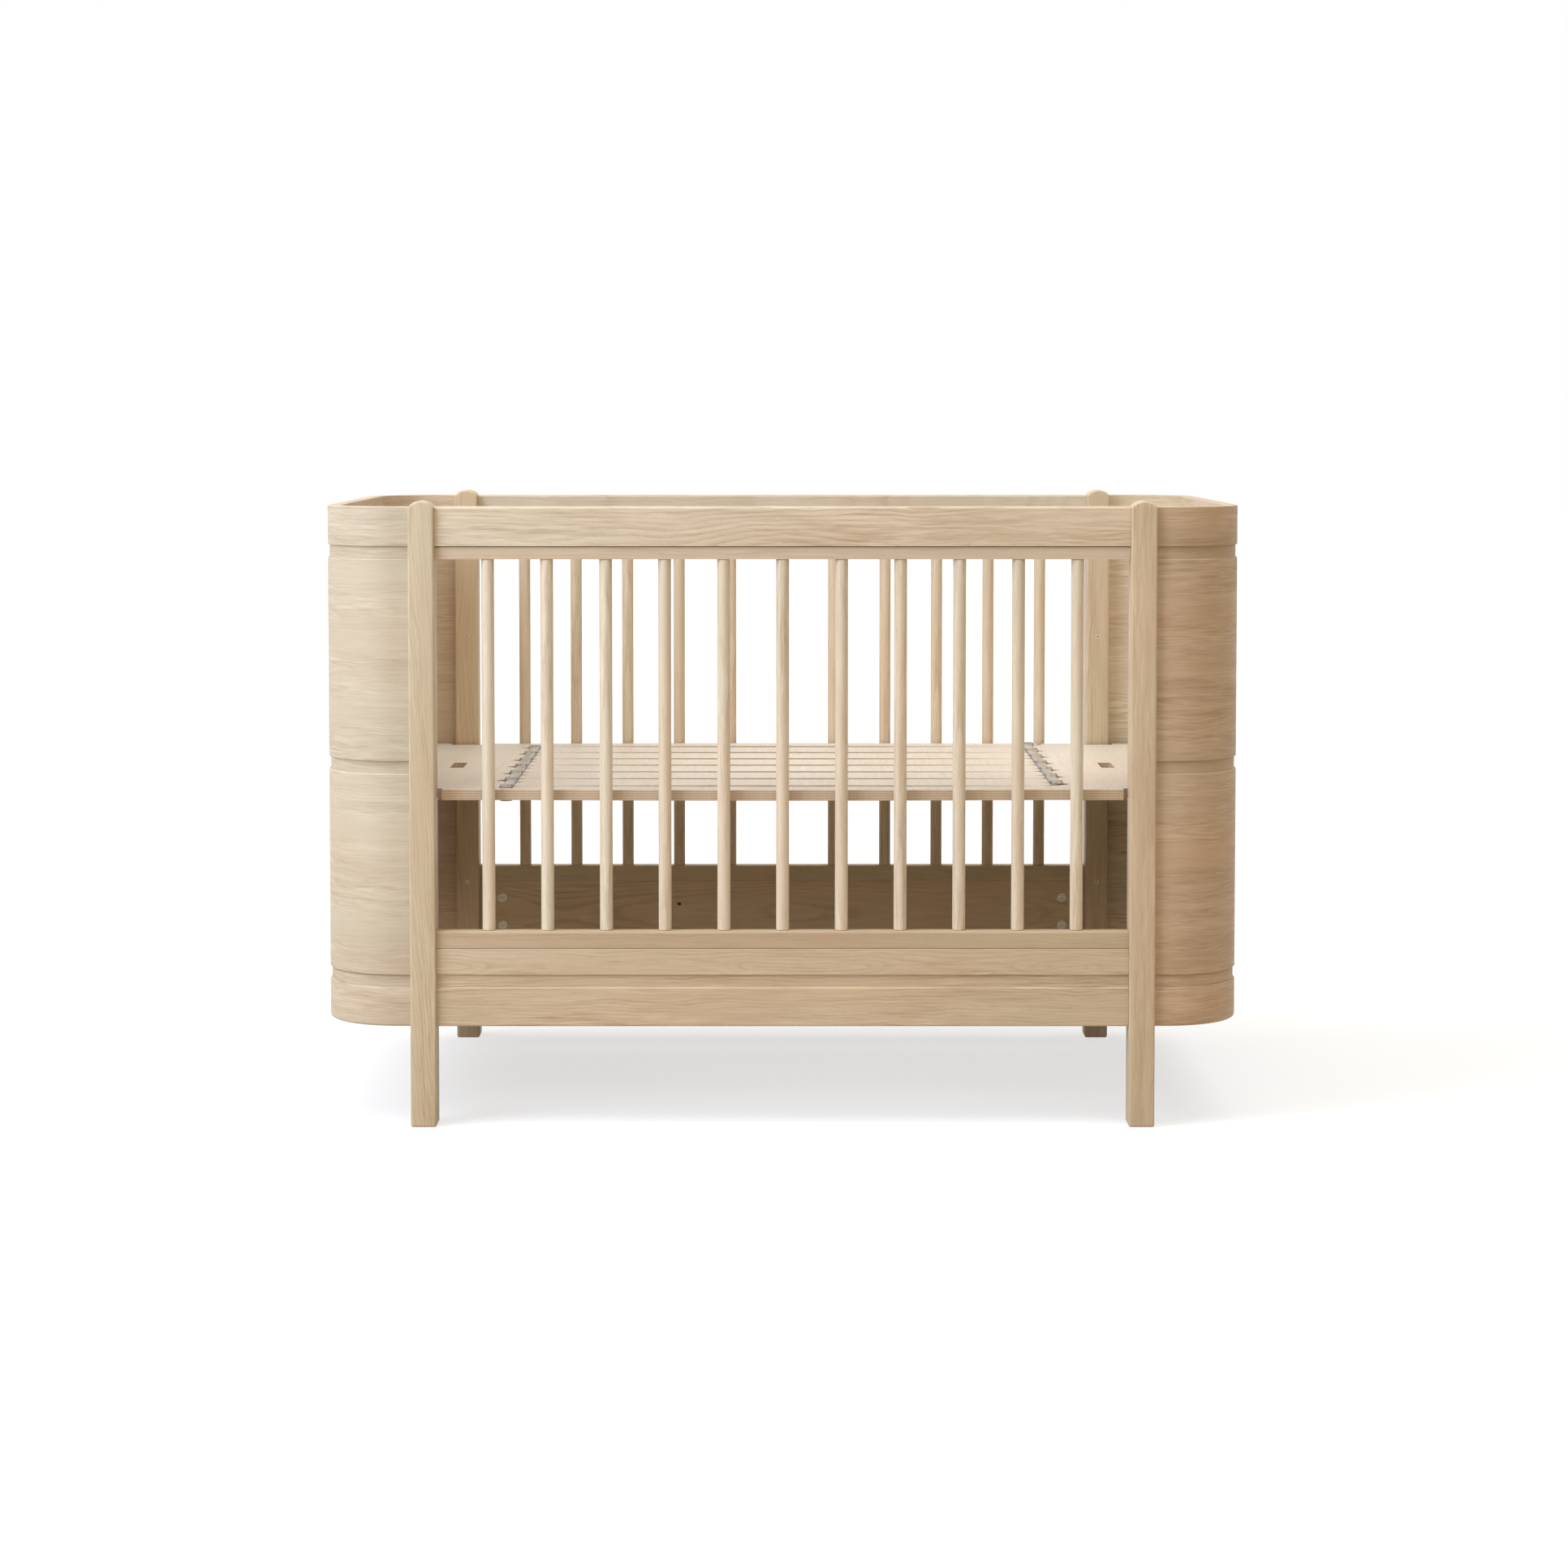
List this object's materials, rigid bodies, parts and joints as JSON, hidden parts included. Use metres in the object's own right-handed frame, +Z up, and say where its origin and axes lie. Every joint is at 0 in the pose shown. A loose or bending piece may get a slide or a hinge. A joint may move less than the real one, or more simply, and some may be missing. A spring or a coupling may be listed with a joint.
{
  "type": "baby crib",
  "caption": "Oak baby crib with bent plywood ends, round-spindle sides between square posts, and a slatted base that lifts out.",
  "frame": {"origin": "on the floor, at the middle of the crib's footprint", "axes": "+X along the crib's length, +Y across it to the back, +Z up"},
  "size_m": [1.289, 0.74, 0.876],
  "materials": {
    "oak_upright": "pale oiled oak, grain upright",
    "oak_lengthwise": "pale oiled oak, grain along the crib",
    "oak_bent": "oak-veneered bent plywood, grain round the ends",
    "oak_spindle": "pale turned wood, grain upright",
    "plywood": "pale lacquered plywood with striped edges",
    "keeper": "pale grey, semi-clear, slightly glossy",
    "zinc": "cast zinc, dull",
    "steel": "zinc-plated steel, satin"
  },
  "bodies": {
    "frame": {"post_front_left": "oak_upright", "post_front_right": "oak_upright", "post_back_left": "oak_upright", "post_back_right": "oak_upright", "end_shell_left": "oak_bent", "end_shell_right": "oak_bent", "top_rail_front": "oak_lengthwise", "spindle_rail_top_front": "oak_lengthwise", "spindle_rail_bottom_front": "oak_lengthwise", "lower_panel_front": "oak_lengthwise", "spindle_front_01": "oak_spindle", "spindle_front_02": "oak_spindle", "spindle_front_03": "oak_spindle", "spindle_front_04": "oak_spindle", "spindle_front_05": "oak_spindle", "spindle_front_06": "oak_spindle", "spindle_front_07": "oak_spindle", "spindle_front_08": "oak_spindle", "spindle_front_09": "oak_spindle", "spindle_front_10": "oak_spindle", "spindle_front_11": "oak_spindle", "cam_lock_front_left_upper": "zinc", "cam_lock_front_left_lower": "zinc", "cam_lock_front_right_upper": "zinc", "cam_lock_front_right_lower": "zinc", "top_rail_back": "oak_lengthwise", "spindle_rail_top_back": "oak_lengthwise", "spindle_rail_bottom_back": "oak_lengthwise", "lower_panel_back": "oak_lengthwise", "spindle_back_01": "oak_spindle", "spindle_back_02": "oak_spindle", "spindle_back_03": "oak_spindle", "spindle_back_04": "oak_spindle", "spindle_back_05": "oak_spindle", "spindle_back_06": "oak_spindle", "spindle_back_07": "oak_spindle", "spindle_back_08": "oak_spindle", "spindle_back_09": "oak_spindle", "spindle_back_10": "oak_spindle", "spindle_back_11": "oak_spindle", "cam_lock_back_left_upper": "zinc", "cam_lock_back_left_lower": "zinc", "cam_lock_back_right_upper": "zinc", "cam_lock_back_right_lower": "zinc", "base_bracket_front_left": "steel", "bracket_bolt_front_left": "steel", "base_bracket_front_right": "steel", "bracket_bolt_front_right": "steel", "base_bracket_back_left": "steel", "bracket_bolt_back_left": "steel", "base_bracket_back_right": "steel", "bracket_bolt_back_right": "steel"},
    "bed_base": {"base_comb_left": "plywood", "keeper_strip_top_left": "keeper", "keeper_strip_bottom_left": "keeper", "base_comb_right": "plywood", "keeper_strip_top_right": "keeper", "keeper_strip_bottom_right": "keeper"}
  },
  "joints": [
    {"name": "bed_base_lift", "type": "slide", "parent": "frame", "child": "bed_base", "axis": [0, 0, 1], "range_m": [0, 0.45]}
  ]
}
